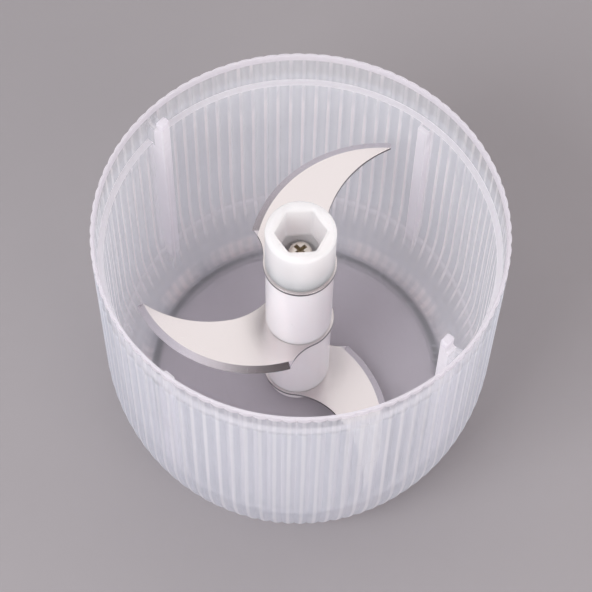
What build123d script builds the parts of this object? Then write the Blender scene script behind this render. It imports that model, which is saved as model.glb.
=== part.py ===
"""Open chopper bowl with a lift-out knife of three blades, one above the other.

Millimetres, +Z up. The origin is the centre of the base, on the surface the bowl stands on. +Y points to the
back of the bowl. The bowl is one fluted moulding; the knife is a stack of blades and spacers on a hexagonal
core, clamped by one screw, and it turns on a steel pin moulded into the bowl's floor.
"""

import os
from math import cos, radians, sin

from build123d import *

# Bowl, outside
RIM_R = 60.0  # crest radius of the fluted wall
BOWL_H = 98.0
BASE_LIFT = 0.3  # plastic stands clear of the surface, on the foot ring
CORNER_R = 5.8  # small round between the base and the belly
BELLY_R = 72.0  # long round between the corner and the straight wall
CORNER_TURN = 64.0  # degrees turned by the corner; the belly turns the rest
FLUTES = 92
FLUTE_DEPTH = 0.55
FLUTE_W = 1.8

# Bowl, inside
WALL = 3.15
LEDGE_Z = 85.7  # lid seat
LIP_INNER_R = 58.7
LEAD_IN_W = 0.4
LEAD_IN_H = 1.8
RECESS_R = 44.1  # hollow under the floor, inside the foot
RECESS_H = 1.2

# Foot ring, set in a groove in the base
FOOT_RING_R = 47.3
FOOT_RING_W = 2.4
FOOT_RING_H = 1.7
FOOT_ROUND = 0.4

# Ribs up the inside of the wall
RIB_T = 3.7
LUG_RIB_ANGLES = (-40.0, 140.0)
LUG_RIB_R = 52.4
LUG_T = 2.5  # radial thickness of the lug standing above the ledge
LUG_NOTCH_Z = 93.2
LUG_NOTCH_RISE = 1.6
LUG_ROUND = 0.5
PLAIN_RIB_ANGLES = (49.0, 229.0)
PLAIN_RIB_R = 54.3

# Pivot
PIN_R = 3.0
PIN_BOTTOM = 2.2
PIN_TOP = 26.0
PIN_TIP = 0.8
COLLAR_R = 4.2
COLLAR_Z = 3.0
COLLAR_H = 1.0
BOSS_R = 5.4
BOSS_TOP = 5.6
BOSS_FILLET = 1.0
WASHER_R = 5.2
WASHER_T = 0.5
THRUST_GAP = 0.05
RUNNING_GAP = 0.05  # radial clearance on the pin

# Knife stack
BLADE_T = 1.0
BLADE_TOPS = (77.5, 43.5, 9.5)  # upper, middle, lower
BLADE_ANGLES = (57.75, 177.75, 297.75)  # direction of each tip
HUB_R = 10.36
SPACER_R = 10.17
SOCKET_TOP = 96.3
HEX_AF = 13.3  # drive recess across flats
HEX_TURN = 4.5  # one corner of the recess stands at this angle
HEX_FLOOR = 82.1
CAP_R = 10.0
CAP_BOTTOM = 4.0
CAP_GAP = 0.1
CAP_ROUND = 1.2
SPACER_ROUND = 0.25
SOCKET_UPPER_ROUND = 1.6
SOCKET_LOWER_ROUND = 0.9
MOUTH_ROUND = 0.7
CORE_AF = 11.0
CORE_FIT = 0.06  # clearance across flats where a piece slides over the core
CORE_BOTTOM = 6.4
CORE_TOP = 80.5
FLANGE_R = 7.4
FLANGE_T = 1.0
BUSH_R = 4.2
BUSH_FLANGE_R = 5.2
BUSH_TOP = 26.6
MID_BORE_R = 3.2

# Clamp screw, M3.5 pan head
HEAD_R = 3.5
HEAD_H = 2.6
SCREW_R = 1.75
SCREW_L = 16.0
SCREW_GAP = 0.1
TAP_RUN_OUT = 2.0
HEAD_RIM_H = 1.1
HEAD_CROWN_R = 1.5  # round from the head's side to its flat top
HEAD_CROWN_TURN = 90
CROSS_L = 4.4
CROSS_W = 1.25
CROSS_DEPTH = 1.5
CROSS_TAPER = 12
CROSS_TURN = 45

# Blade outline, in a frame whose +X runs from the axis to the tip
ROOT_R = 10.95
TIP_R = 49.9
HEEL_CORNER = (1.5, 17.85)
TIP_END = (49.1, -0.85)
WAIST = (21.3, 2.9)
EDGE_R = 40.4  # convex cutting edge
BACK_R = 35.4  # concave back edge, tip to waist
FRONT_FILLET_R = 19.9  # waist to root
HEEL_FILLET_R = 13.7  # heel corner to root
FRONT_MERGE = -32.1  # where the fillets meet the root, in degrees
HEEL_MERGE = 118.0
BEVEL_W = 2.2
BEVEL_DROP = 0.9

OVERRUN = 1.0  # how far a cut or a buried foot runs past the face it meets

os.makedirs("parts", exist_ok=True)


def polar(radius, angle):
    """Point at a radius and an angle in degrees."""
    return (radius * cos(radians(angle)), radius * sin(radians(angle)))


def radial_plane(angle):
    """Upright plane through the axis: local X points outwards at the angle, local Y points up."""
    across = (sin(radians(angle)), -cos(radians(angle)), 0)
    return Plane(origin=(0, 0, 0), x_dir=(*polar(1, angle), 0), z_dir=across)


def level_plane(height, angle):
    """Level plane at a height, with its local X turned to the angle."""
    return Plane(origin=(0, 0, height), x_dir=(*polar(1, angle), 0), z_dir=(0, 0, 1))


def finish(piece, name):
    """Label a finished piece and write it."""
    piece.part.label = name
    export_step(piece.part, f"parts/{name}.step")


def bowl_section(inset, top):
    """Half section of the bowl's body of revolution, inset from its outer surface, up to a height."""
    base = BASE_LIFT + inset
    with BuildSketch(Plane.XZ) as section:
        with BuildLine():
            floor_line = Line((0, base), (BASE_R, base))
            corner = JernArc(floor_line @ 1, (1, 0), CORNER_R - inset, CORNER_TURN)
            belly = JernArc(corner @ 1, corner % 1, BELLY_R - inset, 90 - CORNER_TURN)
            wall = Line(belly @ 1, (RIM_R - inset, top))
            Polyline(wall @ 1, (0, top), (0, base))
        make_face()
    return section.sketch


def tube(outer_r, inner_r, bottom, top):
    """Ring between two heights, added to the part that is being built."""
    with BuildSketch(Plane.XY.offset(bottom)) as ring:
        Circle(outer_r)
        Circle(inner_r, mode=Mode.SUBTRACT)
    extrude(ring.sketch, amount=top - bottom)


def disc(radius, bottom, top, mode=Mode.ADD):
    """Round plate, or round hole when the mode is subtract, between two heights."""
    with BuildSketch(Plane.XY.offset(bottom)) as circle:
        Circle(radius)
    extrude(circle.sketch, amount=top - bottom, mode=mode)


def hex_prism(across_flats, turn, bottom, top, mode=Mode.ADD):
    """Hexagonal prism or hole between two heights, with one corner at the turn angle."""
    with BuildSketch(level_plane(bottom, turn)) as hexagon:
        RegularPolygon(across_flats / 2, 6, major_radius=False)
    extrude(hexagon.sketch, amount=top - bottom, mode=mode)


BASE_R = RIM_R - CORNER_R * sin(radians(CORNER_TURN)) - BELLY_R * (1 - sin(radians(CORNER_TURN)))
BELLY_TOP = BASE_LIFT + CORNER_R + (BELLY_R - CORNER_R) * cos(radians(CORNER_TURN))
FLOOR_TOP = BASE_LIFT + WALL
BOSS_FOOT_Z = FLOOR_TOP + BOSS_FILLET
BOSS_BURIED_Z = FLOOR_TOP - OVERRUN
CORE_TURN = BLADE_ANGLES[0]
CORE_HOLE_AF = CORE_AF + CORE_FIT

# Room inside the bowl: round, with the four ribs left standing in it
with BuildPart() as room:
    revolve(bowl_section(WALL, LEDGE_Z), axis=Axis.Z)
    with BuildSketch(Plane.XZ):
        Polygon(
            (0, LEDGE_Z),
            (LIP_INNER_R, LEDGE_Z),
            (LIP_INNER_R, BOWL_H - LEAD_IN_H),
            (LIP_INNER_R + LEAD_IN_W, BOWL_H),
            (0, BOWL_H),
            align=None,
        )
    revolve(axis=Axis.Z)
    for angle in LUG_RIB_ANGLES:
        lug_outer_r = LUG_RIB_R + LUG_T
        with BuildSketch(radial_plane(angle)):
            with BuildLine():
                Polyline(
                    (LUG_RIB_R, 0),
                    (LUG_RIB_R, BOWL_H),
                    (lug_outer_r, BOWL_H),
                    (lug_outer_r, LUG_NOTCH_Z),
                    (RIM_R, LUG_NOTCH_Z + LUG_NOTCH_RISE),
                    (RIM_R, 0),
                    close=True,
                )
            rib = make_face()
            fillet(rib.vertices().group_by(Axis.Z)[-1], LUG_ROUND)
        extrude(amount=RIB_T / 2, both=True, mode=Mode.SUBTRACT)
    for angle in PLAIN_RIB_ANGLES:
        with BuildSketch(radial_plane(angle)):
            with Locations((PLAIN_RIB_R, 0)):
                Rectangle(RIM_R - PLAIN_RIB_R, LEDGE_Z, align=(Align.MIN, Align.MIN))
        extrude(amount=RIB_T / 2, both=True, mode=Mode.SUBTRACT)

# One flute groove: a V carried down the wall and round the belly and the corner
with BuildPart() as groove:
    with BuildLine(Plane.XZ) as run_down:
        upright = Line((RIM_R, BOWL_H + OVERRUN), (RIM_R, BELLY_TOP))
        belly_run = JernArc(upright @ 1, (0, -1), BELLY_R, CORNER_TURN - 90)
        JernArc(belly_run @ 1, belly_run % 1, CORNER_R, -CORNER_TURN)
    with BuildSketch(Plane.XY.offset(BOWL_H + OVERRUN)):
        Polygon(
            (RIM_R - FLUTE_DEPTH, 0),
            (RIM_R + FLUTE_DEPTH, -FLUTE_W),
            (RIM_R + FLUTE_DEPTH, FLUTE_W),
            align=None,
        )
    sweep(path=run_down.line)

# Pivot pin: plain steel pin with a collar that the floor is moulded around
with BuildPart() as pivot_pin:
    disc(PIN_R, PIN_BOTTOM, PIN_TOP)
    chamfer(pivot_pin.edges().sort_by(Axis.Z)[-1], PIN_TIP)
    disc(COLLAR_R, COLLAR_Z, COLLAR_Z + COLLAR_H)
finish(pivot_pin, "pivot_pin")

# Foot ring: soft ring that the bowl stands on
with BuildPart() as foot_ring:
    tube(FOOT_RING_R, FOOT_RING_R - FOOT_RING_W, 0, FOOT_RING_H)
    fillet(foot_ring.edges().group_by(Axis.Z)[0], FOOT_ROUND)
finish(foot_ring, "foot_ring")

# Bowl: fluted body with the room taken out, a boss for the pin and a hollow underside
with BuildPart() as bowl:
    revolve(bowl_section(0, BOWL_H), axis=Axis.Z)
    with PolarLocations(0, FLUTES, start_angle=90):
        add(groove.part, mode=Mode.SUBTRACT)
    add(room.part, mode=Mode.SUBTRACT)
    with BuildSketch(Plane.XZ):
        with BuildLine():
            side = Polyline((0, BOSS_BURIED_Z), (0, BOSS_TOP), (BOSS_R, BOSS_TOP), (BOSS_R, BOSS_FOOT_Z))
            foot = JernArc(side @ 1, (0, -1), BOSS_FILLET, 90)
            Polyline(foot @ 1, (BOSS_R + BOSS_FILLET, BOSS_BURIED_Z), (0, BOSS_BURIED_Z))
        make_face()
    revolve(axis=Axis.Z)
    add(pivot_pin.part, mode=Mode.SUBTRACT)
    disc(RECESS_R, 0, BASE_LIFT + RECESS_H, mode=Mode.SUBTRACT)
    with BuildSketch():
        Circle(FOOT_RING_R)
        Circle(FOOT_RING_R - FOOT_RING_W, mode=Mode.SUBTRACT)
    extrude(amount=FOOT_RING_H, mode=Mode.SUBTRACT)
finish(bowl, "bowl")

# Thrust washer: lies on the boss and carries the knife
WASHER_BOTTOM = BOSS_TOP + THRUST_GAP
with BuildPart() as thrust_washer:
    tube(WASHER_R, PIN_R + RUNNING_GAP, WASHER_BOTTOM, WASHER_BOTTOM + WASHER_T)
finish(thrust_washer, "thrust_washer")

# Pivot bush: flanged plain bearing, pressed into the core
with BuildPart() as pivot_bush:
    tube(BUSH_R, PIN_R + RUNNING_GAP, CORE_BOTTOM, BUSH_TOP)
    tube(BUSH_FLANGE_R, PIN_R + RUNNING_GAP, WASHER_BOTTOM + WASHER_T + THRUST_GAP, CORE_BOTTOM)
finish(pivot_bush, "pivot_bush")

# Core tube: flanged hexagonal tube, bored for the bush and tapped for the screw
SCREW_TIP = HEX_FLOOR - SCREW_L
with BuildPart() as core_tube:
    hex_prism(CORE_AF, CORE_TURN, CORE_BOTTOM, CORE_TOP)
    disc(FLANGE_R, CORE_BOTTOM, CORE_BOTTOM + FLANGE_T)
    disc(BUSH_R, CORE_BOTTOM, BUSH_TOP, mode=Mode.SUBTRACT)
    disc(MID_BORE_R, BUSH_TOP, SCREW_TIP - TAP_RUN_OUT, mode=Mode.SUBTRACT)
    disc(SCREW_R, SCREW_TIP - TAP_RUN_OUT, CORE_TOP, mode=Mode.SUBTRACT)
finish(core_tube, "core_tube")

# End cap: covers the flange and holds the lowest blade up
with BuildPart() as end_cap:
    tube(CAP_R, FLANGE_R + CAP_GAP, CAP_BOTTOM, CORE_BOTTOM + FLANGE_T)
    disc(CAP_R, CORE_BOTTOM + FLANGE_T, BLADE_TOPS[2] - BLADE_T)
    hex_prism(CORE_HOLE_AF, CORE_TURN, CORE_BOTTOM, BLADE_TOPS[2], mode=Mode.SUBTRACT)
    outer_rim = end_cap.edges().filter_by(GeomType.CIRCLE).group_by(Axis.Z)[0].sort_by(SortBy.RADIUS)[-1]
    fillet(outer_rim, CAP_ROUND)
finish(end_cap, "end_cap")

# Spacers: plain sleeves between one blade and the next
for name, upper, lower in (("upper_spacer", 0, 1), ("lower_spacer", 1, 2)):
    bottom = BLADE_TOPS[lower]
    top = BLADE_TOPS[upper] - BLADE_T
    with BuildPart() as spacer:
        disc(SPACER_R, bottom, top)
        fillet(spacer.edges().filter_by(GeomType.CIRCLE), SPACER_ROUND)
        hex_prism(CORE_HOLE_AF, CORE_TURN, bottom, top, mode=Mode.SUBTRACT)
    finish(spacer, name)

# Blades: three alike, a third of a turn apart
for name, top, angle in zip(("upper_blade", "middle_blade", "lower_blade"), BLADE_TOPS, BLADE_ANGLES):
    with BuildPart() as blade:
        with BuildSketch(level_plane(top - BLADE_T, angle)):
            with BuildLine():
                RadiusArc(HEEL_CORNER, (TIP_R, 0), EDGE_R)
                Line((TIP_R, 0), TIP_END)
                RadiusArc(TIP_END, WAIST, -BACK_R)
                RadiusArc(WAIST, polar(ROOT_R, FRONT_MERGE), -FRONT_FILLET_R)
                Polyline(polar(ROOT_R, FRONT_MERGE), (0, 0), polar(ROOT_R, HEEL_MERGE))
                RadiusArc(polar(ROOT_R, HEEL_MERGE), HEEL_CORNER, -HEEL_FILLET_R)
            make_face()
            Circle(ROOT_R)
            RegularPolygon(CORE_HOLE_AF / 2, 6, major_radius=False, mode=Mode.SUBTRACT)
        extrude(amount=BLADE_T)
        upper_face = blade.faces().sort_by(Axis.Z)[-1]
        cutting_edge = upper_face.edges().filter_by(GeomType.CIRCLE).sort_by(SortBy.LENGTH)[-1]
        chamfer(cutting_edge, BEVEL_W, BEVEL_DROP, reference=upper_face)
    finish(blade, name)

# Drive socket: top of the hub, with the drive recess above the screw and a seat for the core below
with BuildPart() as drive_socket:
    disc(HUB_R, BLADE_TOPS[0], SOCKET_TOP)
    rims = drive_socket.edges().filter_by(GeomType.CIRCLE).sort_by(Axis.Z)
    fillet(rims[0], SOCKET_LOWER_ROUND)
    fillet(rims[-1], SOCKET_UPPER_ROUND)
    hex_prism(HEX_AF, HEX_TURN, HEX_FLOOR, SOCKET_TOP, mode=Mode.SUBTRACT)
    mouth = drive_socket.edges().filter_by(GeomType.LINE).filter_by(Plane.XY).group_by(Axis.Z)[-1]
    fillet(mouth, MOUTH_ROUND)
    hex_prism(CORE_HOLE_AF, CORE_TURN, BLADE_TOPS[0], CORE_TOP, mode=Mode.SUBTRACT)
    disc(SCREW_R + SCREW_GAP, CORE_TOP, HEX_FLOOR, mode=Mode.SUBTRACT)
finish(drive_socket, "drive_socket")

# Clamp screw: pan head with a cross recess, through the socket's floor into the core
with BuildPart() as clamp_screw:
    with BuildSketch(Plane.XZ):
        with BuildLine():
            side = Polyline((0, SCREW_TIP), (SCREW_R, SCREW_TIP), (SCREW_R, HEX_FLOOR), (HEAD_R, HEX_FLOOR),
                            (HEAD_R, HEX_FLOOR + HEAD_RIM_H))
            crown = JernArc(side @ 1, (0, 1), HEAD_CROWN_R, HEAD_CROWN_TURN)
            Polyline(crown @ 1, (0, HEX_FLOOR + HEAD_H), (0, SCREW_TIP))
        make_face()
    revolve(axis=Axis.Z)
    with BuildSketch(level_plane(HEX_FLOOR + HEAD_H, CROSS_TURN)):
        Rectangle(CROSS_L, CROSS_W)
        Rectangle(CROSS_W, CROSS_L)
    extrude(amount=-CROSS_DEPTH, taper=CROSS_TAPER, mode=Mode.SUBTRACT)
finish(clamp_screw, "clamp_screw")
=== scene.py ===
"""Looks for an open chopper bowl with a lift-out knife of three blades.

Lengths are worked out in millimetres, as in the part's own source, and scaled to metres when a mesh is made.
The bowl is built here with its scalloped flutes, and the knife's moulded and stamped pieces are built with the
small rounds that moulding and grinding leave. The foot ring, the pin, the core, the washer, the bush and the screw
keep their own shapes and only get materials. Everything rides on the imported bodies.
"""

from math import cos, pi, radians, sin

import bmesh
import bpy
import numpy as np
from mathutils import Matrix, Vector


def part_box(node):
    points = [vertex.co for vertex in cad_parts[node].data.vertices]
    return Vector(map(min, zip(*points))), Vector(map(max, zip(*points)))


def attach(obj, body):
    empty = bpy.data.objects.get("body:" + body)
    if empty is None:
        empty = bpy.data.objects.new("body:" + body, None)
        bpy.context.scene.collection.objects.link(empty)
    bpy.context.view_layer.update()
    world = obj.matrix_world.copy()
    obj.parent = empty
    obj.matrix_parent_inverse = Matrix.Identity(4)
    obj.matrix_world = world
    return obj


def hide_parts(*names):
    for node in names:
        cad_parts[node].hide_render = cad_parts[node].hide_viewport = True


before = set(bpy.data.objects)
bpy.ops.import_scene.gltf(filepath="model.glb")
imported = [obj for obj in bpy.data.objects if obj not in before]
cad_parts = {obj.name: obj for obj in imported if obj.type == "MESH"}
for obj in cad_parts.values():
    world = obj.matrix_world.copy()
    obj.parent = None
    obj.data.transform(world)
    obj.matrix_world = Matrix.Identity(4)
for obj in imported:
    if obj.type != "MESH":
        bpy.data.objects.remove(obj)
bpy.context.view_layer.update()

MM = 0.001

# ---------------------------------------------------------------- sizes, millimetres


def low(node):
    """Lowest x, y and z of a node of the part, in millimetres."""
    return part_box(node)[0] / MM


def high(node):
    """Highest x, y and z of a node of the part, in millimetres."""
    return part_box(node)[1] / MM


RIM_R = high("bowl").x
BOWL_H = high("bowl").z
BASE_LIFT = low("bowl").z
CORNER_R = 5.8
BELLY_R = 72.0
CORNER_TURN = radians(64)
FLUTES = 92
FLUTE_DEPTH = 0.5
WALL = 3.15
LEDGE_Z = 85.7
LIP_INNER_R = 58.7
LEAD_IN_W = 0.4
LEAD_IN_H = 1.8
RECESS_R = 44.1
RECESS_H = 1.2
BOSS_R = 5.4
BOSS_TOP = 5.6
BOSS_FILLET = 1.0
PIN_HOLE_R = 3.02
PIN_BOTTOM = low("pivot_pin").z

FOOT_RING_R = high("foot_ring").x
FOOT_RING_W = 2.4
FOOT_RING_H = high("foot_ring").z

RIB_HALF_ANGLE = radians(1.86)
LUG_RIBS = (radians(-40), radians(140))
LUG_RIB_R = 52.4
LUG_T = 2.5
LUG_NOTCH_Z = 93.2
LUG_NOTCH_RISE = 1.6
PLAIN_RIBS = (radians(49), radians(229))
PLAIN_RIB_R = 54.3

BASE_R = RIM_R - CORNER_R * sin(CORNER_TURN) - BELLY_R * (1 - sin(CORNER_TURN))
BELLY_TOP = BASE_LIFT + CORNER_R + (BELLY_R - CORNER_R) * cos(CORNER_TURN)
FLOOR_TOP = BASE_LIFT + WALL
INNER_R = RIM_R - WALL

HUB_R = high("drive_socket").x
HUB_BOTTOM = low("drive_socket").z
HUB_TOP = high("drive_socket").z
HEX_AF = 13.3
HEX_TURN = radians(4.5)
HEX_FLOOR = 82.1
SCREW_HOLE_R = 1.85
CORE_AF = 11.06
SHARP_HEXAGON = 60
SOFT_HEXAGON = 34
CORE_TURN = radians(57.75)
CORE_TOP = high("core_tube").z
FLANGE_R = high("core_tube").x
FLANGE_T = 1.0
CORE_BOTTOM = low("core_tube").z
CAP_GAP = 0.1

BLADE_TURNS = {"upper_blade": radians(57.75), "middle_blade": radians(177.75), "lower_blade": radians(297.75)}
ROOT_R = 10.95
EDGE_CENTRE = (15.03, -20.02)
EDGE_R = 40.4
BACK_CENTRE = (29.88, -31.48)
BACK_R = 35.4
FRONT_CENTRE = (26.11, -16.39)
FRONT_R = 19.9
HEEL_CORNER = (1.5, 17.85)
HEEL_R = 13.7
TIP_R = 49.9
TIP_END = (49.1, -0.85)
WAIST = (21.3, 2.9)
FRONT_MERGE = radians(-32.1)
HEEL_MERGE = radians(118)
ROOT_FAR_SIDE = (-ROOT_R * 0.73, -ROOT_R * 0.68)
BEVEL_W = 2.2
BEVEL_DROP = 0.9


# ---------------------------------------------------------------- paths and skins

def arc(centre, radius, start, stop, count):
    """Points along a circular arc between two angles: centre + radius times (cos, sin)."""
    turn = np.linspace(start, stop, count)
    return np.stack([centre[0] + radius * np.cos(turn), centre[1] + radius * np.sin(turn)], axis=1)


def steps(start, stop, count):
    """Points along a straight stretch, both ends included."""
    return np.linspace(np.asarray(start, float), np.asarray(stop, float), count)


def path(*pieces):
    """Joins stretches of points into one path and drops points that repeat."""
    points = np.vstack([np.atleast_2d(np.asarray(piece, float)) for piece in pieces])
    keep = np.ones(len(points), bool)
    keep[1:] = np.abs(np.diff(points, axis=0)).max(axis=1) > 1e-6
    return points[keep]


def turn_from(start, azimuths):
    """Signed angle from a start to each azimuth, the shorter way round."""
    return (azimuths - start + pi) % (2 * pi) - pi


def bend(start, stop, centre, radius, count):
    """The shorter arc about a centre from one point to another."""
    a = np.arctan2(start[1] - centre[1], start[0] - centre[0])
    b = np.arctan2(stop[1] - centre[1], stop[0] - centre[0])
    return arc(centre, radius, a, a + turn_from(a, b), count)


def swept(r, z, azimuths):
    """Grid of points round the Z axis: one row for each radius and height, one column for each azimuth."""
    return np.stack([r * np.cos(azimuths), r * np.sin(azimuths), z + 0 * azimuths], axis=2)


def grid_faces(rows, columns, first, closed_rows, closed_columns):
    """Quads of a rows by columns grid whose points are numbered row by row from first."""
    i, j = np.meshgrid(np.arange(rows if closed_rows else rows - 1),
                       np.arange(columns if closed_columns else columns - 1), indexing="ij")
    i_next, j_next = (i + 1) % rows, (j + 1) % columns
    corners = [(i, j), (i, j_next), (i_next, j_next), (i_next, j)]
    return np.stack([first + a * columns + b for a, b in corners], axis=2).reshape(-1, 4)


class Skin:
    """Gathers patches of points, each with a mark between 0 and 1, and welds them into one closed mesh."""

    def __init__(self):
        self.points, self.marks, self.faces, self.count = [], [], [], 0

    def add(self, points, mark):
        self.points.append(points)
        self.marks.append(np.broadcast_to(mark, len(points)))
        self.count += len(points)

    def grid(self, points, mark=0.0, closed_rows=False, closed_columns=False):
        rows, columns = points.shape[:2]
        self.faces += grid_faces(rows, columns, self.count, closed_rows, closed_columns).tolist()
        self.add(points.reshape(-1, 3), mark)

    def polygon(self, points, mark=0.0):
        self.faces.append(list(range(self.count, self.count + len(points))))
        self.add(points, mark)

    def fan(self, ring, pole, mark=0.0):
        """Triangles from a closed ring of points to one pole."""
        i = np.arange(len(ring))
        tip = np.full(len(ring), self.count + len(ring))
        self.faces += np.stack([self.count + i, self.count + (i + 1) % len(ring), tip], axis=1).tolist()
        self.add(np.vstack([ring, pole]), mark)

    def build(self, name, crease=35):
        """One mesh in metres: patches welded, normals outwards, edges sharper than the crease kept crisp."""
        mesh = bpy.data.meshes.new(name)
        mesh.from_pydata((np.vstack(self.points) * MM).tolist(), [], self.faces)
        mesh.attributes.new("mark", "FLOAT", "POINT").data.foreach_set("value", np.concatenate(self.marks))
        work = bmesh.new()
        work.from_mesh(mesh)
        bmesh.ops.remove_doubles(work, verts=work.verts, dist=2e-6)
        bmesh.ops.recalc_face_normals(work, faces=work.faces)
        work.to_mesh(mesh)
        work.free()
        mesh.polygons.foreach_set("use_smooth", np.ones(len(mesh.polygons), bool))
        mesh.set_sharp_from_angle(angle=radians(crease))
        piece = bpy.data.objects.new(name, mesh)
        bpy.context.scene.collection.objects.link(piece)
        return piece


def place(piece, body, node, material):
    """Gives a piece its body, the node it stands for and its material."""
    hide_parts(node)
    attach(piece, body)
    piece.data.materials.append(material)


# ---------------------------------------------------------------- shader maths

class Value:
    """A number that changes over a surface. Arithmetic on it adds Math nodes."""

    def __init__(self, kit, socket):
        self.kit, self.socket = kit, socket

    def __add__(self, other):
        return self.kit.maths("ADD", self, other)

    def __sub__(self, other):
        return self.kit.maths("SUBTRACT", self, other)

    def __mul__(self, other):
        return self.kit.maths("MULTIPLY", self, other)

    def __truediv__(self, other):
        return self.kit.maths("DIVIDE", self, other)

    def __rsub__(self, other):
        return self.kit.maths("SUBTRACT", other, self)

    def __abs__(self):
        return self.kit.maths("ABSOLUTE", self)

    __radd__ = __add__
    __rmul__ = __mul__


class Kit:
    """One material and the nodes it is made of."""

    def __init__(self, name):
        self.material = bpy.data.materials.new(name)
        self.material.use_nodes = True
        self.tree = self.material.node_tree
        self.tree.nodes.clear()
        self.position = self.node("ShaderNodeTexCoord").outputs["Object"]
        split = self.node("ShaderNodeSeparateXYZ", {}, {"Vector": self.position})
        self.x, self.y, self.z = [Value(self, split.outputs[axis]) * (1 / MM) for axis in "XYZ"]

    def node(self, kind, settings=None, inputs=None):
        """A node of one type, with its settings made first and then its sockets filled or linked."""
        node = self.tree.nodes.new(kind)
        for key, value in (settings or {}).items():
            setattr(node, key, value)
        for key, value in (inputs or {}).items():
            socket = node.inputs[key]
            value = getattr(value, "socket", value)
            if isinstance(value, bpy.types.NodeSocket):
                self.tree.links.new(value, socket)
            else:
                socket.default_value = value
        return node

    def maths(self, operation, *values):
        node = self.node("ShaderNodeMath", {"operation": operation}, dict(enumerate(values)))
        return Value(self, node.outputs[0])

    def most(self, first, *others):
        """The greatest of several values."""
        for other in others:
            first = self.maths("MAXIMUM", first, other)
        return first

    def radius(self):
        """Distance from the Z axis, in millimetres."""
        return self.maths("SQRT", self.x * self.x + self.y * self.y)

    def azimuth(self):
        """Angle round the Z axis, in radians."""
        return self.maths("ARCTAN2", self.y, self.x)

    def beside(self, angle, far, near):
        """1 within the near angle of an azimuth or of the one opposite it, falling to 0 at the far angle."""
        return self.smooth(self.maths("PINGPONG", self.azimuth() - angle + 2 * pi, pi / 2), far, near)

    def smooth(self, value, start, stop):
        """0 at start, 1 at stop, with a soft turn at both ends."""
        node = self.node("ShaderNodeMapRange", {"interpolation_type": "SMOOTHSTEP"},
                         {"Value": value, "From Min": start, "From Max": stop})
        return Value(self, node.outputs["Result"])

    def band(self, value, start, stop, soft):
        """1 between start and stop, falling to 0 over a soft width outside them."""
        return self.smooth(value, start - soft, start) * (1 - self.smooth(value, stop, stop + soft))

    def stretch(self, along):
        """Object position scaled by three numbers, so that a pattern is drawn out along one direction."""
        return self.node("ShaderNodeVectorMath", {"operation": "MULTIPLY"},
                         {0: self.position, 1: along}).outputs["Vector"]

    def vector(self, x, y, z=0.0):
        return self.node("ShaderNodeCombineXYZ", {}, {"X": x, "Y": y, "Z": z}).outputs["Vector"]

    def around(self, turns, rise, reach):
        """Position as (azimuth, height, radius), each scaled: patterns drawn on it run round the axis."""
        return self.vector(self.azimuth() * turns, self.z * rise, self.radius() * reach)

    def noise(self, vector, scale, detail=3.0, roughness=0.55):
        """Cloudy pattern between 0 and 1, about 0.5 on average."""
        node = self.node("ShaderNodeTexNoise", {}, {
            "Vector": vector, "Scale": scale, "Detail": detail, "Roughness": roughness})
        return Value(self, node.outputs["Fac"])

    def mix(self, share, first, second):
        """Colour between two colours."""
        node = self.node("ShaderNodeMix", {"data_type": "RGBA"}, {"Factor": share, 6: first, 7: second})
        return node.outputs[2]

    def mark(self):
        """The number between 0 and 1 that each point of the skin carries."""
        return Value(self, self.node("ShaderNodeAttribute", {"attribute_name": "mark"}).outputs["Fac"])

    def bump(self, height, strength, distance):
        return self.node("ShaderNodeBump", {}, {
            "Height": height, "Strength": strength, "Distance": distance}).outputs["Normal"]

    def surface(self, **sockets):
        """The principled shader, with sockets named in lower case with underscores."""
        named = {key.replace("_", " ").title().replace("Ior", "IOR"): value for key, value in sockets.items()}
        return self.node("ShaderNodeBsdfPrincipled", {}, named).outputs["BSDF"]

    def blend(self, share, first, second):
        return self.node("ShaderNodeMixShader", {}, {"Fac": share, 1: first, 2: second}).outputs["Shader"]

    def finish(self, shader):
        self.node("ShaderNodeOutputMaterial", {}, {"Surface": shader})
        return self.material


def rgb(red, green, blue):
    """Linear colour from ordinary 0 to 255 screen values."""
    share = np.array([red, green, blue]) / 255
    line = np.where(share <= 0.04045, share / 12.92, ((share + 0.055) / 1.055) ** 2.4)
    return (*line.tolist(), 1)


# ---------------------------------------------------------------- materials

def painted_valley_highlights(kit, valley, wobble):
    """Painted highlight lines in the flutes' valleys, standing in for the light that the fluted wall gathers there.
    Each has its own strength. They fade in above the floor, weaken above the ledge and, in uneven stretches, about
    the ledge's height."""
    strength = 0.55 + 0.9 * kit.noise(kit.around(30.0, 0.012, 0.0), 1.0, 1.0)
    uneven_z = kit.z + 40 * kit.noise(kit.around(3.0, 0.0, 0.0), 1.0, 3.0)
    line = kit.smooth(valley + (wobble - 0.5) * 0.25, 0.57, 0.89) * kit.smooth(kit.z, 12, 20) * strength
    line = line * (1 - 0.15 * kit.smooth(kit.z, LEDGE_Z - 0.5, LEDGE_Z + 0.5))
    return line * (1 - 0.5 * kit.band(uneven_z, LEDGE_Z + 16, LEDGE_Z + 26, 8))


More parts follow.
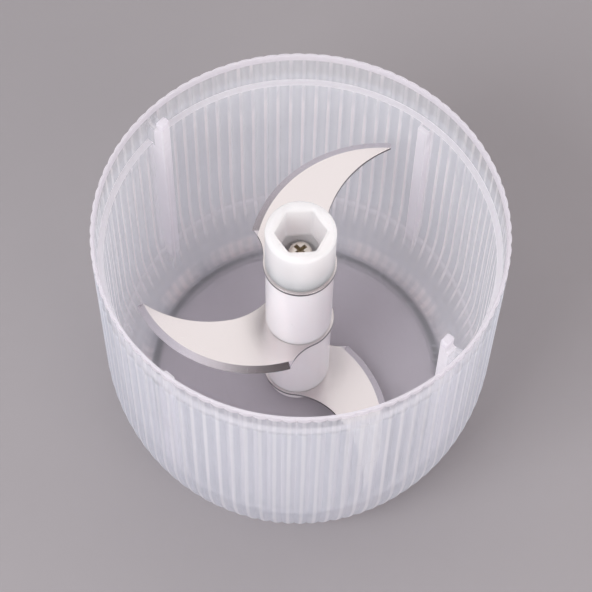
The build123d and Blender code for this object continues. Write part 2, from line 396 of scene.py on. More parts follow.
def milky_plastic():
    """Milky translucent polypropylene: hazy and a little see-through. The cloud in it is denser at the lip, the
    ledge, the ribs, the valley lines and the bend to the floor, and thinner in the wall above the ledge. The valley
    lines, the pale wall beside the ribs, the glimmer at the bend and the bluish tint between the outer crests are
    painted light: highlights and reflections drawn into the colour."""
    kit = Kit("milky_plastic")
    inner = kit.mark()
    outer = 1 - inner
    reach = kit.radius()
    share = kit.maths("FRACT", (kit.azimuth() - pi / 2) * (FLUTES / (2 * pi)) + FLUTES)
    valley = abs(share - 0.5) * 2
    wobble = kit.noise(kit.around(22.0, 0.03, 0.0), 1.0, 2.0)
    haze = kit.noise(kit.stretch((1, 1, 0.5)), 55.0, 4.0)

    wall = kit.smooth(kit.z, 11, 30)
    # line: the painted highlight lines in the valleys, on the inside only
    line = painted_valley_highlights(kit, valley, wobble) * inner
    # crest marks the outside's crests; the bluish colour between them is a painted reflection, so the crests read as
    # painted highlight stripes
    crest = kit.smooth(valley + (wobble - 0.5) * 0.2, 0.42, 0.12) * outer
    lip_bottom = BOWL_H - 2.5
    lip = kit.smooth(kit.z, lip_bottom, lip_bottom + 0.7) * inner
    lip = kit.most(lip, kit.smooth(kit.z, lip_bottom, lip_bottom + 1))
    ledge = kit.band(kit.z, LEDGE_Z - 0.15, LEDGE_Z + 0.3, 0.12) * inner
    ledge = ledge * kit.smooth(reach, INNER_R - 0.6, INNER_R - 0.2)
    rib = kit.smooth(INNER_R - reach, 0.5, 1.2) * kit.smooth(kit.z, 14, 26) * 0.9
    dense = kit.most(lip, ledge, rib)
    # Painted light: the wall beside each rib is drawn paler and denser, standing in for the rib's image bent through
    # the wall
    painted_light_beside_ribs = kit.most(kit.beside(LUG_RIBS[0], 0.11, 0.03), kit.beside(PLAIN_RIBS[0], 0.075, 0.02))
    painted_light_beside_ribs = painted_light_beside_ribs * kit.smooth(kit.z, 14, 30) * kit.smooth(kit.z, LEDGE_Z, LEDGE_Z - 1) * inner
    thin = kit.smooth(kit.z, LEDGE_Z, LEDGE_Z + 0.8) * inner * 0.16
    thin = (thin + kit.smooth(kit.z, LEDGE_Z + 0.8, LEDGE_Z + 3.2) * outer * 0.30) * (1 - lip)
    floor = kit.smooth(BASE_R - 2.5 - reach, -0.8, 0.8) * (1 - kit.smooth(kit.z, 4.2, 6))
    foot = kit.band(reach, FOOT_RING_R - FOOT_RING_W, FOOT_RING_R, 0.4) * (1 - kit.smooth(kit.z, 2, 3))
    # Painted glimmer: bright streaky patches in the bend to the floor, standing in for light that the flutes refract
    # there
    corner = kit.band(reach, FOOT_RING_R + 0.9, FOOT_RING_R + 3.2, 1.2) * (1 - kit.smooth(kit.z, 7, 10))
    corner = corner * (0.6 + 0.4 * kit.smooth(valley, 0.2, 0.8)) * kit.smooth(haze, 0.30, 0.66)
    turn_up = kit.band(reach, FOOT_RING_R + 0.6, FOOT_RING_R + 5, 1.5) * (1 - kit.smooth(kit.z, 8, 14))

    shade = kit.mix(wall, rgb(243, 243, 247), rgb(245, 247, 251))
    # Painted light among these covers: the valley lines, the bluish tint between the outer crests, the corner
    # glimmer and the pale wall beside the ribs
    for cover, colour in ((line, (255, 250, 251)), ((1 - crest) * outer * 0.8, (226, 231, 241)),
                          (corner * 0.8, (255, 247, 247)), (kit.most(dense, painted_light_beside_ribs * 0.7), (253, 250, 253)),
                          (lip, (245, 242, 247)), (floor, (254, 251, 255))):
        shade = kit.mix(cover, shade, rgb(*colour))

    # The painted highlight lines, the corner glimmer and the pale wall beside the ribs also thicken the cloud
    cloud = 0.41 + 0.08 * wall + 0.42 * line + (haze - 0.5) * 0.14 - thin
    cloud = cloud + outer * 0.13 + crest * 0.12 + corner * 0.36 + turn_up * 0.14
    cloud = kit.most(cloud, dense * 0.9, painted_light_beside_ribs * 0.86)
    cloud = cloud * (1 - floor) + floor * (0.63 + (haze - 0.5) * 0.08)
    cloud = kit.most(cloud, foot * 0.3)

    scuff = kit.noise(kit.around(3.0, 0.4, 2.2), 1.0, 5.0, 0.7)
    swirl = kit.noise(kit.around(1.2, 0.0, 5.5), 1.0, 2.0)
    rough = 0.30 + (scuff - 0.5) * 0.16 + floor * (swirl - 0.5) * 0.25
    grain = kit.noise(kit.position, 900.0, 2.0)
    ripple = kit.noise(kit.around(9.0, 0.05, 0.05), 1.0, 2.0)
    normal = kit.bump(ripple * 0.7 + grain * 0.08 + floor * swirl * 0.3, 0.35, 0.0003)
    coat = kit.surface(base_color=shade, roughness=rough, normal=normal, ior=1.49, specular_ior_level=0.5)
    glow = kit.node("ShaderNodeBsdfTranslucent", {}, {"Color": shade}).outputs["BSDF"]
    clear = kit.node("ShaderNodeBsdfTransparent", {}, {"Color": (0.985, 0.98, 0.985, 1)}).outputs["BSDF"]
    glow_share = 0.64
    return kit.finish(kit.blend(cloud, clear, kit.blend(glow_share, coat, glow)))


def white_plastic(name, tone, warmth, depth):
    """White moulded plastic, satin to gloss, with faint flow clouding and fine scuffs running round the hub. The
    warmth takes a little green and blue away, and the depth, in metres, is how far light travels inside."""
    kit = Kit(name)
    flow = kit.noise(kit.stretch((1, 1, 0.35)), 160.0, 3.0)
    ring = kit.noise(kit.around(1.5, 5.5, 1.0), 1.0, 4.0, 0.65)
    speck = kit.smooth(kit.noise(kit.position, 1300.0, 1.0), 0.765, 0.80)
    green, blue = tone - 8 - warmth, tone - 7 - warmth
    shade = kit.mix(flow, rgb(tone - 1, green, blue), rgb(tone + 4, green + 5, blue + 5))
    shade = kit.mix(speck * 0.5, shade, rgb(196, 186, 180))
    rough = 0.24 + (ring - 0.5) * 0.14 + (flow - 0.5) * 0.06
    normal = kit.bump(ring * 0.3 + flow * 0.7, 0.12, 0.0002)
    return kit.finish(kit.surface(
        base_color=shade, roughness=rough, normal=normal, ior=1.5, subsurface_weight=1.0, subsurface_scale=depth,
        subsurface_radius=(1.0, 0.92, 0.92)))


def blade_steel(name, node):
    """Stamped stainless steel: flats rolled bright along the blade, a ground bevel with fine marks square to the
    edge, dull sheared sides, and painted shade on the flats near the hub, standing in for the hub's shadow and its
    dark reflection. The bevel is the band next to the cutting edge, by distance from that edge's centre."""
    kit = Kit(name)
    tip_angle, underside = BLADE_TURNS[node], low(node).z
    along = kit.x * cos(tip_angle) + kit.y * sin(tip_angle)
    across = kit.y * cos(tip_angle) - kit.x * sin(tip_angle)
    out_x, out_y = along - EDGE_CENTRE[0], across - EDGE_CENTRE[1]
    reach = kit.maths("SQRT", out_x * out_x + out_y * out_y)
    bevel = kit.smooth(reach, EDGE_R - BEVEL_W - 0.04, EDGE_R - BEVEL_W + 0.04)
    bevel = bevel * kit.smooth(kit.z, underside + 0.02, underside + 0.08)
    rolled = kit.noise(kit.vector(along * 0.05, across * 2.6, kit.z), 3.2, 4.0, 0.7)
    fine = kit.noise(kit.position, 2600.0, 2.0)
    blotch = kit.noise(kit.position, 60.0, 3.0)
    turn = kit.maths("ARCTAN2", out_y, out_x)
    ground = kit.noise(kit.vector(turn * 520, kit.radius() * 0.3), 1.0, 3.0, 0.75)
    sheared = kit.smooth(kit.mark(), 0.2, 0.6) * (1 - bevel)
    # Painted shade: the flats darken towards the hub, standing in for the hub's shadow and its dark reflection
    painted_hub_shade = 1 - kit.smooth(kit.radius() + (blotch - 0.5) * 6, 11.5, 19)
    flat = kit.mix(rolled, rgb(232, 226, 225), rgb(237, 231, 230))
    flat = kit.mix(painted_hub_shade * 0.35, flat, rgb(196, 190, 190))
    edge = kit.mix(ground, rgb(206, 200, 204), rgb(213, 207, 212))
    shade = kit.mix(sheared, kit.mix(bevel, flat, edge), rgb(128, 122, 124))
    rough = (0.26 + (rolled - 0.5) * 0.04 + (blotch - 0.5) * 0.04) * (1 - bevel) + bevel * (0.24 + ground * 0.05)
    rough = rough + sheared * 0.25
    height = (rolled * 0.16 + fine * 0.12) * (1 - bevel) + bevel * (ground * 0.14 + fine * 0.2)
    normal = kit.bump(height, 0.16, 0.00012)
    return kit.finish(kit.surface(base_color=shade, metallic=1.0, roughness=rough, normal=normal))


def screw_steel():
    """Bright nickel on steel, darker and olive-coloured in the cross recess and round the head's seat."""
    kit = Kit("screw_steel")
    depth = 1 - kit.smooth(kit.z, HEX_FLOOR + 2.1, HEX_FLOOR + 2.55)
    inside = 1 - kit.smooth(kit.radius(), 2.1, 2.5)
    seat = 1 - kit.smooth(kit.z, HEX_FLOOR + 0.15, HEX_FLOOR + 0.6)
    blotch = kit.noise(kit.position, 900.0, 3.0)
    # Darker, olive colour, duller and less metallic, in the cross recess and round the head's seat
    recess_and_seat_olive = kit.most(depth * inside, seat * 0.7) * (0.75 + blotch * 0.4)
    shade = kit.mix(blotch, rgb(196, 188, 178), rgb(226, 220, 212))
    shade = kit.mix(recess_and_seat_olive, shade, rgb(172, 158, 130))
    rough = 0.26 + blotch * 0.14 + recess_and_seat_olive * 0.3
    normal = kit.bump(blotch, 0.2, 0.0001)
    return kit.finish(kit.surface(base_color=shade, metallic=1 - recess_and_seat_olive * 0.6, roughness=rough, normal=normal))


def turned_steel(name, tone):
    """Plain drawn or ground steel with fine rings round its axis."""
    kit = Kit(name)
    ring = kit.noise(kit.around(0.6, 14.0, 3.0), 1.0, 4.0, 0.7)
    cloud = kit.noise(kit.position, 120.0, 2.0)
    shade = kit.mix(ring, rgb(tone - 26, tone - 28, tone - 28), rgb(tone, tone, tone + 2))
    normal = kit.bump(ring, 0.25, 0.0001)
    return kit.finish(kit.surface(base_color=shade, metallic=1.0, roughness=0.26 + ring * 0.12 + cloud * 0.06,
                                  normal=normal))


def bearing_plastic(name, warm):
    """Natural acetal: dull off-white, faintly ringed where it was turned."""
    kit = Kit(name)
    ring = kit.noise(kit.around(0.8, 9.0, 6.0), 1.0, 3.0)
    cloud = kit.noise(kit.position, 300.0, 2.0)
    shade = kit.mix(cloud, rgb(222, 219, warm), rgb(233, 231, warm + 8))
    return kit.finish(kit.surface(base_color=shade, roughness=0.42 + ring * 0.12, ior=1.48,
                                  normal=kit.bump(ring, 0.2, 0.0001)))


def soft_rubber():
    """Grey soft rubber, matt, a little polished where it touches the table."""
    kit = Kit("soft_rubber")
    dust = kit.noise(kit.position, 700.0, 4.0, 0.7)
    worn = 1 - kit.smooth(kit.z, 0.05, 0.35)
    shade = kit.mix(dust, rgb(150, 150, 153), rgb(164, 164, 167))
    return kit.finish(kit.surface(base_color=shade, roughness=0.72 + (dust - 0.5) * 0.2 - worn * 0.15, ior=1.5,
                                  normal=kit.bump(dust, 0.3, 0.0001)))


def table_top():
    """Pale grey matt table with a barely visible mottle."""
    kit = Kit("table_top")
    mottle = kit.noise(kit.position, 14.0, 4.0)
    grain = kit.noise(kit.position, 900.0, 2.0)
    shade = kit.mix(mottle, rgb(153, 148, 151), rgb(157, 152, 155))
    return kit.finish(kit.surface(base_color=shade, roughness=0.62 + (grain - 0.5) * 0.1,
                                  normal=kit.bump(grain, 0.1, 0.0001)))


# ---------------------------------------------------------------- bowl

def flute_drop(azimuths):
    """How far the scalloped wall lies inside its crests: depth times the square of the distance from a crest,
    where that distance is 0 on a crest and 1 in a valley. A valley lies at the very back of the bowl."""
    share = ((azimuths - pi / 2) * FLUTES / (2 * pi)) % 1
    return FLUTE_DEPTH * (2 * share - 1) ** 2


def bowl_azimuths():
    """Azimuths of the bowl's columns: eight for each flute, closer near the valleys, and a set on each rib."""
    within = np.array([0, 0.06, 0.175, 0.325, 0.5, 0.675, 0.825, 0.94])
    plain = (np.arange(FLUTES)[:, None] + within).ravel() * 2 * pi / FLUTES + pi / 2
    plain = plain % (2 * pi)
    across = RIB_HALF_ANGLE * np.array([-1, -0.9, -0.75, -0.4, 0, 0.4, 0.75, 0.9, 1])
    clear_of_rib = RIB_HALF_ANGLE * 1.02
    for rib in LUG_RIBS + PLAIN_RIBS:
        plain = plain[np.abs(turn_from(rib, plain)) > clear_of_rib]
        plain = np.concatenate([plain, (rib + across) % (2 * pi)])
    return np.sort(plain)


def outer_rows():
    """Outside of the bowl from the lip's inner edge over the rim, down the wall and under the foot towards the
    axis. Each row is (r, z, share of the flute depth); the share grows from nothing on the lip's top to all of the
    depth a little below it, and dies away again round the bottom corner."""
    rim_round = 0.35
    corner_centre = (BASE_R, BASE_LIFT + CORNER_R)
    belly_centre = (RIM_R - BELLY_R, BELLY_TOP)
    lip_edge = LIP_INNER_R + LEAD_IN_W
    upper = path(
        (lip_edge, BOWL_H),
        (lip_edge + 0.25, BOWL_H),
        arc((RIM_R - rim_round, BOWL_H - rim_round), rim_round, pi / 2, 0, 5),
        steps((RIM_R, BOWL_H - 0.8), (RIM_R, BOWL_H - 2.6), 4),
        steps((RIM_R, BOWL_H - 5), (RIM_R, BELLY_TOP), 5),
        arc(belly_centre, BELLY_R, 0, CORNER_TURN - pi / 2, 20),
    )
    corner = arc(corner_centre, CORNER_R, CORNER_TURN - pi / 2, -pi / 2, 14)[1:]
    ring_r, ring_w, ring_h = FOOT_RING_R, FOOT_RING_W, FOOT_RING_H
    under = path(
        (ring_r, BASE_LIFT),
        (ring_r, ring_h),
        (ring_r - ring_w, ring_h),
        (ring_r - ring_w, BASE_LIFT),
        (RECESS_R, BASE_LIFT),
        (RECESS_R, BASE_LIFT + RECESS_H),
        steps((RECESS_R - 1, BASE_LIFT + RECESS_H), (8, BASE_LIFT + RECESS_H), 4),
    )
    growing = np.concatenate([[0, 0.15], np.linspace(0.4, 0.65, 5), np.linspace(0.7, 1, 4)])
    share = np.concatenate([
        growing,
        np.ones(len(upper) - len(growing)),
        np.cos(np.linspace(0, pi / 2, len(corner) + 1)[1:]),
        np.zeros(len(under)),
    ])
    return np.column_stack([np.vstack([upper, corner, under]), share])


def rib_foot(rib_r):
    """Angle on the inner belly arc at which the bowl's inside comes in to a rib's free edge."""
    return -np.arccos((rib_r - (RIM_R - BELLY_R)) / (BELLY_R - WALL))


def inner_rows():
    """Inside of the bowl from the lip's inner edge down the wall to the floor, the boss and the pin's hole.
    Returns the rows and the index of each row at which a rib begins or ends."""
    belly_inner = BELLY_R - WALL
    belly_centre = (RIM_R - BELLY_R, BELLY_TOP)
    corner_inner = CORNER_R - WALL
    ledge_round, boss_edge = 0.3, 0.3
    head = path(
        (LIP_INNER_R + LEAD_IN_W, BOWL_H),
        (LIP_INNER_R, BOWL_H - LEAD_IN_H),
        (LIP_INNER_R, LUG_NOTCH_Z + LUG_NOTCH_RISE),
    )
    ledge = path(
        (LIP_INNER_R, LEDGE_Z + 1.0),
        arc((LIP_INNER_R - ledge_round, LEDGE_Z + ledge_round), ledge_round, 0, -pi / 2, 4),
    )
    wall = path(
        arc((INNER_R + ledge_round, LEDGE_Z - ledge_round), ledge_round, pi / 2, pi, 4),
        steps((INNER_R, LEDGE_Z - 4), (INNER_R, BELLY_TOP), 5),
    )
    angles = np.linspace(0, CORNER_TURN - pi / 2, 18)[1:]
    feet = [rib_foot(PLAIN_RIB_R), rib_foot(LUG_RIB_R)]
    angles = np.sort(np.append(angles, feet))[::-1]
    belly = np.column_stack([belly_centre[0] + belly_inner * np.cos(angles),
                             belly_centre[1] + belly_inner * np.sin(angles)])
    floor = path(
        arc((BASE_R, FLOOR_TOP + corner_inner), corner_inner, CORNER_TURN - pi / 2, -pi / 2, 8)[1:],
        steps((BASE_R - 4, FLOOR_TOP), (BOSS_R + BOSS_FILLET + 3, FLOOR_TOP), 4),
        arc((BOSS_R + BOSS_FILLET, FLOOR_TOP + BOSS_FILLET), BOSS_FILLET, -pi / 2, -pi, 6),
        (BOSS_R, BOSS_TOP - boss_edge),
        (BOSS_R - boss_edge, BOSS_TOP),
        (PIN_HOLE_R, BOSS_TOP),
        (PIN_HOLE_R, PIN_BOTTOM),
    )
    rows = np.vstack([head, ledge, wall, belly, floor])
    plain_foot, lug_foot = [len(head) + len(ledge) + len(wall) + int(np.argmin(np.abs(angles - foot)))
                            for foot in feet]
    return rows, {"notch": len(head) - 1, "ledge": len(head) + len(ledge) - 1,
                  "plain_foot": plain_foot, "lug_foot": lug_foot}


def rib_edge(rib_r, lug, foot_point, ease):
    """Radial outline (r, z) of a rib's free edge from the lip or the ledge to its foot. A rib with a lug has a notch
    between the lug and the lip. The ease draws the edge back a little, which rounds the rib's two sides."""
    r = rib_r + ease
    bottom = foot_point[1] + 3
    if lug:
        outer = rib_r + LUG_T - ease
        top = BOWL_H - 0.05 - ease
        notch_round, cap = 1.0, 0.55
        return path(
            steps((LIP_INNER_R - 0.6, LUG_NOTCH_Z + LUG_NOTCH_RISE - 0.9), (outer + notch_round, LUG_NOTCH_Z), 4),
            arc((outer + notch_round, LUG_NOTCH_Z + notch_round), notch_round, -pi / 2, -pi, 6),
            arc((outer - cap, top - cap), cap, 0, pi / 2, 5),
            arc((r + cap, top - cap), cap, pi / 2, pi, 5),
            steps((r, top - 4), (r, bottom), 8),
        )
    cap = 0.5
    return path(
        (INNER_R - 0.8, LEDGE_Z),
        arc((r + cap, LEDGE_Z - cap), cap, pi / 2, pi, 5),
        steps((r, LEDGE_Z - 4), (r, bottom), 6),
    )


def make_bowl():
    """The bowl as one skin: an outside whose radius drops by the flute formula, an inside swept round between the
    ribs, and on each rib the same inside with the rib's own outline put in, closed by flat cheeks. The inside is
    marked 1, and so is the outside's first row, on the lip's inner edge."""
    azimuths = bowl_azimuths()
    skin = Skin()
    outer = outer_rows()
    shell = swept(outer[:, 0, None] - outer[:, 2, None] * flute_drop(azimuths), outer[:, 1, None], azimuths)
    first_row = np.repeat(np.arange(len(outer)) == 0, len(azimuths)).astype(float)
    skin.grid(shell, first_row, closed_columns=True)
    skin.fan(shell[-1], np.array([0, 0, outer[-1, 1]]))

    rows, at = inner_rows()
    room = swept(rows[:, 0, None], rows[:, 1, None], azimuths)
    skin.fan(room[-1], np.array([0, 0, rows[-1, 1]]), 1.0)
    between = np.ones(len(azimuths), bool)
    on_rib = RIB_HALF_ANGLE * 1.001
    for rib, rib_r, lug in ([(a, LUG_RIB_R, True) for a in LUG_RIBS] +
                            [(a, PLAIN_RIB_R, False) for a in PLAIN_RIBS]):
        away = turn_from(rib, azimuths)
        inside = np.flatnonzero(np.abs(away) <= on_rib)
        inside = inside[np.argsort(away[inside])]
        head, foot = (at["notch"], at["lug_foot"]) if lug else (at["ledge"], at["plain_foot"])
        side = np.abs(away[inside]) / RIB_HALF_ANGLE
        ease = 0.3 * np.clip((side - 0.7) / 0.3, 0, 1) ** 2
        outlines = np.stack([
            np.vstack([rows[:head + 1], rib_edge(rib_r, lug, rows[foot], e), rows[foot:]]) for e in ease], axis=1)
        strip = swept(outlines[..., 0], outlines[..., 1], azimuths[inside])
        skin.grid(strip, 1.0)
        edge_end = len(outlines) - (len(rows) - foot)
        for column, end in ((inside[0], 0), (inside[-1], -1)):
            skin.polygon(np.vstack([room[head:foot + 1, column], strip[head + 1:edge_end, end][::-1]]), 1.0)
        between[inside[:-1]] = False
    starts = np.flatnonzero(between)
    for run in np.split(starts, np.flatnonzero(np.diff(starts) > 1) + 1):
        skin.grid(room[:, np.append(run, run[-1] + 1) % len(azimuths)], 1.0)
    return skin.build("bowl_shell", crease=32)


# ---------------------------------------------------------------- knife

def hexagon(azimuths, turn, sharpness):
    """Radius of a rounded hexagon of unit apothem at each azimuth: the six flats' cosines raised to a high power,
    added, and the root taken; a higher power makes sharper corners. One corner stands at the turn angle."""
    flats = turn + pi / 6 + np.arange(6) * pi / 3
    cosines = np.clip(np.cos(azimuths[:, None] - flats), 1e-9, 1)
    return (cosines ** sharpness).sum(axis=1) ** (-1 / sharpness)


def sleeve(name, outside, hole, turn, sharpness=SHARP_HEXAGON):
    """Round piece with a hexagonal hole. The outside's rows are (r, z) and the hole's are (r, z, hexagonal share),
    and together they go once round the piece's section. Each row's radius is a blend of a circle and a hexagon."""
    azimuths = np.linspace(0, 2 * pi, 192, endpoint=False)
    rows = np.vstack([np.column_stack([outside, np.zeros(len(outside))]), hole])
    hexed = 1 + rows[:, 2, None] * (hexagon(azimuths, turn, sharpness) - 1)
    skin = Skin()
    skin.grid(swept(rows[:, 0, None] * hexed, rows[:, 1, None], azimuths), closed_rows=True, closed_columns=True)
    return skin.build(name, crease=30)


def make_drive_socket():
    """Top of the hub: soft upper rim, soft lower edge, hexagonal drive recess with a rounded mouth, and below its
    floor the screw hole and the seat for the core."""
    top_round, low_round, mouth = 1.6, 0.9, 1.2
    half, core = HEX_AF / 2, CORE_AF / 2
    outside = path(
        (HUB_R - low_round - 0.6, HUB_BOTTOM),
        arc((HUB_R - low_round, HUB_BOTTOM + low_round), low_round, -pi / 2, 0, 9),
        steps((HUB_R, HUB_BOTTOM + 2), (HUB_R, HUB_TOP - top_round - 1), 4),
        arc((HUB_R - top_round, HUB_TOP - top_round), top_round, 0, pi / 2, 14),
    )
    lip = arc((half + mouth, HUB_TOP - mouth), mouth, pi / 2, pi, 8)
    hole = path(
        np.column_stack([lip, np.linspace(0.75, 1, len(lip))]),
        np.column_stack([steps((half, HUB_TOP - 2), (half, HEX_FLOOR + 0.3), 4), np.ones(4)]),
        (half - 0.3, HEX_FLOOR, 1),
        (SCREW_HOLE_R, HEX_FLOOR, 0),
        (SCREW_HOLE_R, CORE_TOP, 0),
        (core, CORE_TOP, 0),
        (core, HUB_BOTTOM, 0),
    )
    return sleeve("hub_top", outside, hole, HEX_TURN, SOFT_HEXAGON)


def make_spacer(name, node):
    """Plain sleeve between two blades, with barely broken edges."""
    r, bottom, top = high(node).x, low(node).z, high(node).z
    edge, core = 0.3, CORE_AF / 2
    outside = path(
        (r - edge, bottom),
        arc((r - edge, bottom + edge), edge, -pi / 2, 0, 5),
        steps((r, bottom + 1), (r, top - 1), 6),
        arc((r - edge, top - edge), edge, 0, pi / 2, 5),
    )
    hole = np.array([(core, top, 1), (core, bottom, 1)])
    return sleeve(name, outside, hole, CORE_TURN)


def make_end_cap():
    """Cup over the core's flange, rounded underneath, with a hexagonal hole above the flange."""
    r, bottom, top = high("end_cap").x, low("end_cap").z, high("end_cap").z
    low_round, edge, core = 1.2, 0.2, CORE_AF / 2
    seat_r, seat_z = FLANGE_R + CAP_GAP, CORE_BOTTOM + FLANGE_T
    outside = path(
        (seat_r, bottom),
        arc((r - low_round, bottom + low_round), low_round, -pi / 2, 0, 8),
        arc((r - edge, top - edge), edge, 0, pi / 2, 4),
    )
    hole = np.array([(core, top, 1), (core, seat_z, 1), (seat_r, seat_z, 0)])
    return sleeve("hub_foot", outside, hole, CORE_TURN)


def blade_outline():
    """The blade seen from above, tip along +X: convex cutting edge from the heel to the tip, the blunt tip, the
    concave back, and the root's circle. Returns the points and how much of the bevel each one carries."""
    heel, tip, end, waist = HEEL_CORNER, (TIP_R, 0), TIP_END, WAIST
    front = (ROOT_R * cos(FRONT_MERGE), ROOT_R * sin(FRONT_MERGE))
    back = (ROOT_R * cos(HEEL_MERGE), ROOT_R * sin(HEEL_MERGE))
    middle = np.add(back, heel) / 2
    across = np.array([heel[1] - back[1], back[0] - heel[0]])
    span = np.hypot(*across)
    heel_centre = middle - across / span * np.sqrt(HEEL_R ** 2 - (span / 2) ** 2)
    edge = bend(heel, tip, EDGE_CENTRE, EDGE_R, 90)
    rest = path(
        steps(tip, end, 3)[1:],
        bend(end, waist, BACK_CENTRE, BACK_R, 50)[1:],
        bend(waist, front, FRONT_CENTRE, FRONT_R, 36)[1:],
        arc((0, 0), ROOT_R, FRONT_MERGE, HEEL_MERGE - 2 * pi, 60)[1:],
        bend(back, heel, heel_centre, HEEL_R, 16)[1:-1],
    )
    share = np.concatenate([np.ones(len(edge)), np.zeros(len(rest))])
    return np.vstack([edge, rest]), share


def make_blade(name, node):
    """One blade: its outline at four levels, drawn in by the bevel's width along the cutting edge and by a small
    round elsewhere. The flat top and underside are each two polygons that meet on a line across the core's
    hexagonal hole. The sheared sides and the foot of the bevel are marked 1."""
    turn = BLADE_TURNS[node]
    outline, share = blade_outline()
    ahead = np.roll(outline, -1, axis=0) - np.roll(outline, 1, axis=0)
    inwards = np.stack([ahead[:, 1], -ahead[:, 0]], axis=1) / np.hypot(*ahead.T)[:, None]
    radial = outline - np.array(EDGE_CENTRE)
    inwards = np.where(share[:, None] > 0, -radial / np.hypot(*radial.T)[:, None], inwards)
    top, bottom, soft = high(node).z, low(node).z, 0.12
    plain = 1 - share
    levels = [
        (outline + inwards * (soft * plain)[:, None], bottom + 0 * share),
        (outline, bottom + soft * plain),
        (outline, top - share * BEVEL_DROP - soft * plain),
        (outline + inwards * (share * BEVEL_W + soft * plain)[:, None], top + 0 * share),
    ]
    azimuths = np.linspace(0, 2 * pi, 72, endpoint=False)
    rim = CORE_AF / 2 * hexagon(azimuths, 0, SHARP_HEXAGON)
    core = np.column_stack([rim * np.cos(azimuths), rim * np.sin(azimuths)])
    spin = np.array([[cos(turn), sin(turn)], [-sin(turn), cos(turn)]])

    def lifted(flat, z):
        return np.column_stack([flat @ spin, z + np.zeros(len(flat))])

    loops = np.stack([lifted(flat, z) for flat, z in levels])
    holes = np.stack([lifted(core, bottom), lifted(core, top)])
    skin = Skin()
    skin.grid(loops, np.repeat([0.0, 1.0, 1.0, 0.0], len(outline)), closed_columns=True)
    skin.grid(holes, closed_columns=True)
    starts = [int(np.argmin(np.hypot(*(outline - spot).T))) for spot in (WAIST, ROOT_FAR_SIDE)]
    near_core = [outline[i] * 6 / np.hypot(*outline[i]) for i in starts]
    facing = [int(np.argmin(np.hypot(*(core - spot).T))) for spot in near_core]
    for loop, hole in ((loops[0], holes[0]), (loops[3], holes[1])):
        for (first, last), (entry, leave) in (((0, 1), (1, 0)), ((1, 0), (0, 1))):
            way = np.arange((starts[last] - starts[first]) % len(outline) + 1) + starts[first]
            back = np.arange((facing[leave] - facing[entry]) % len(core) + 1) + facing[entry]
            skin.polygon(np.vstack([loop[way % len(outline)], hole[back % len(core)]]))
    return skin.build(name, crease=15)


# ---------------------------------------------------------------- studio

def make_camera():
    """Camera above the front of the bowl, looking down and back at it."""
    camera = bpy.data.objects.new("camera", bpy.data.cameras.new("camera"))
    camera.data.sensor_width = 36
    camera.data.lens = 120.62
    camera.data.shift_x = 0.0045
    camera.data.clip_end = 10
    bpy.context.scene.collection.objects.link(camera)
    target, distance = Vector((-1.749, 10.189, 37)) * MM, 0.622213
    tilt, roll = radians(62.076), radians(1.267)
    back = Vector((0, -cos(tilt), sin(tilt)))
    right = Vector((1, 0, 0))
    up = back.cross(right)
    right, up = right * cos(roll) + up * sin(roll), up * cos(roll) - right * sin(roll)
    stand = Matrix((right, up, back)).transposed().to_4x4()
    stand.translation = target + back * distance
    camera.matrix_world = stand
    bpy.context.scene.camera = camera


def make_floor():
    """Square table top, six metres wide, at the height on which the bowl stands."""
    mesh = bpy.data.meshes.new("floor")
    mesh.from_pydata([(-3, -3, 0), (3, -3, 0), (3, 3, 0), (-3, 3, 0)], [], [(0, 1, 2, 3)])
    mesh.materials.append(table_top())
    floor = bpy.data.objects.new("floor", mesh)
    bpy.context.scene.collection.objects.link(floor)


def panel(name, spot, width, height, watts, colour):
    """Soft rectangular light at a spot, turned to face the middle of the bowl."""
    middle = Vector((0, 0, 0.05))
    light = bpy.data.lights.new(name, "AREA")
    light.shape = "RECTANGLE"
    light.size, light.size_y, light.energy, light.color = width, height, watts, colour
    holder = bpy.data.objects.new(name, light)
    holder.matrix_world = (Vector(spot) - middle).to_track_quat("Z", "Y").to_matrix().to_4x4()
    holder.matrix_world.translation = Vector(spot)
    bpy.context.scene.collection.objects.link(holder)


ROOM_TONE = (0.99, 0.96, 0.965)
PATCHES = (
    # direction of the patch's middle, degrees from it at which the patch ends and at which it is full, colour
    ((0.0, 0.0, 1.0), 64, 38, (0.56, 0.54, 0.54)),
    ((-0.12, 0.42, 0.90), 54, 24, (1.055, 1.02, 1.025)),
    ((-0.60, 0.55, 0.52), 30, 14, (0.42, 0.40, 0.40)),
    ((0.28, -0.27, 0.92), 29, 11, (0.06, 0.04, 0.04)),
)


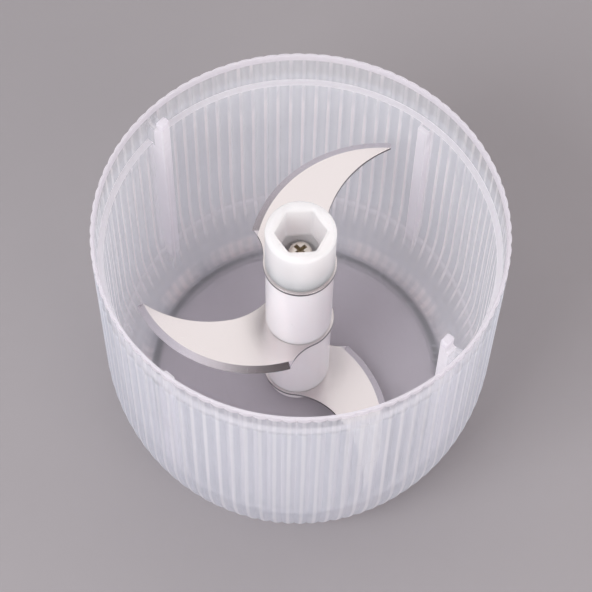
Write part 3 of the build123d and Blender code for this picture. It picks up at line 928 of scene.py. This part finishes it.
def make_room():
    """Even room light with four soft round patches: a dimmer one overhead, a bright one behind and above, which the
    blades' flats mirror, a dim one low at the back left, and a dark one nearly overhead, which the bevels mirror."""
    world = bpy.data.worlds.new("room")
    world.use_nodes = True
    bpy.context.scene.world = world
    nodes, links = world.node_tree.nodes, world.node_tree.links
    facing = nodes.new("ShaderNodeTexCoord")
    tone = None
    for middle, end, full, colour in PATCHES:
        toward = nodes.new("ShaderNodeVectorMath")
        toward.operation = "DOT_PRODUCT"
        toward.inputs[1].default_value = Vector(middle).normalized()
        links.new(facing.outputs["Generated"], toward.inputs[0])
        fade = nodes.new("ShaderNodeMapRange")
        fade.interpolation_type = "SMOOTHSTEP"
        fade.inputs["From Min"].default_value = cos(radians(end))
        fade.inputs["From Max"].default_value = cos(radians(full))
        links.new(toward.outputs["Value"], fade.inputs["Value"])
        mix = nodes.new("ShaderNodeMix")
        mix.data_type = "RGBA"
        mix.inputs[6].default_value = (*ROOM_TONE, 1)
        mix.inputs[7].default_value = (*colour, 1)
        links.new(fade.outputs["Result"], mix.inputs["Factor"])
        if tone is not None:
            links.new(tone, mix.inputs[6])
        tone = mix.outputs[2]
    links.new(tone, nodes["Background"].inputs["Color"])
    nodes["Background"].inputs["Strength"].default_value = 1.0


def make_lights():
    """A cool key from above the front left, and a broad warm fill from the front right."""
    panel("key", (-0.52, -0.50, 0.80), 0.5, 0.45, 5.8, (0.95, 0.98, 1.0))
    panel("fill", (1.00, -1.15, 0.60), 1.0, 0.7, 7.5, (1.0, 0.945, 0.89))


# ---------------------------------------------------------------- the object

place(make_bowl(), "bowl", "bowl", milky_plastic())

# Painted light: the spacers and the end cap share the socket's white plastic, given a whiter tone here to brighten
# them in the bowl's shade
white = white_plastic("spacer_white_painted_bright", 250, 6, 0.003)
place(make_drive_socket(), "knife", "drive_socket", white_plastic("socket_white", 239, 0, 0.03))
place(make_spacer("upper_sleeve", "upper_spacer"), "knife", "upper_spacer", white)
place(make_spacer("lower_sleeve", "lower_spacer"), "knife", "lower_spacer", white)
place(make_end_cap(), "knife", "end_cap", white)
for name, node in (("knife_high", "upper_blade"), ("knife_middle", "middle_blade"), ("knife_low", "lower_blade")):
    place(make_blade(name, node), "knife", node, blade_steel("steel_" + name, node))

KEPT = {
    "foot_ring": soft_rubber(),
    "pivot_pin": turned_steel("ground_steel", 176),
    "core_tube": turned_steel("drawn_steel", 168),
    "thrust_washer": bearing_plastic("washer_acetal", 208),
    "pivot_bush": bearing_plastic("bush_acetal", 200),
    "clamp_screw": screw_steel(),
}
for node, material in KEPT.items():
    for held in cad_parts[node].material_slots:
        held.material = material

make_floor()
make_camera()
make_room()
make_lights()
bpy.context.scene.view_settings.view_transform = "Standard"
bpy.context.scene.cycles.diffuse_bounces = 8  # light crosses the milky wall many times
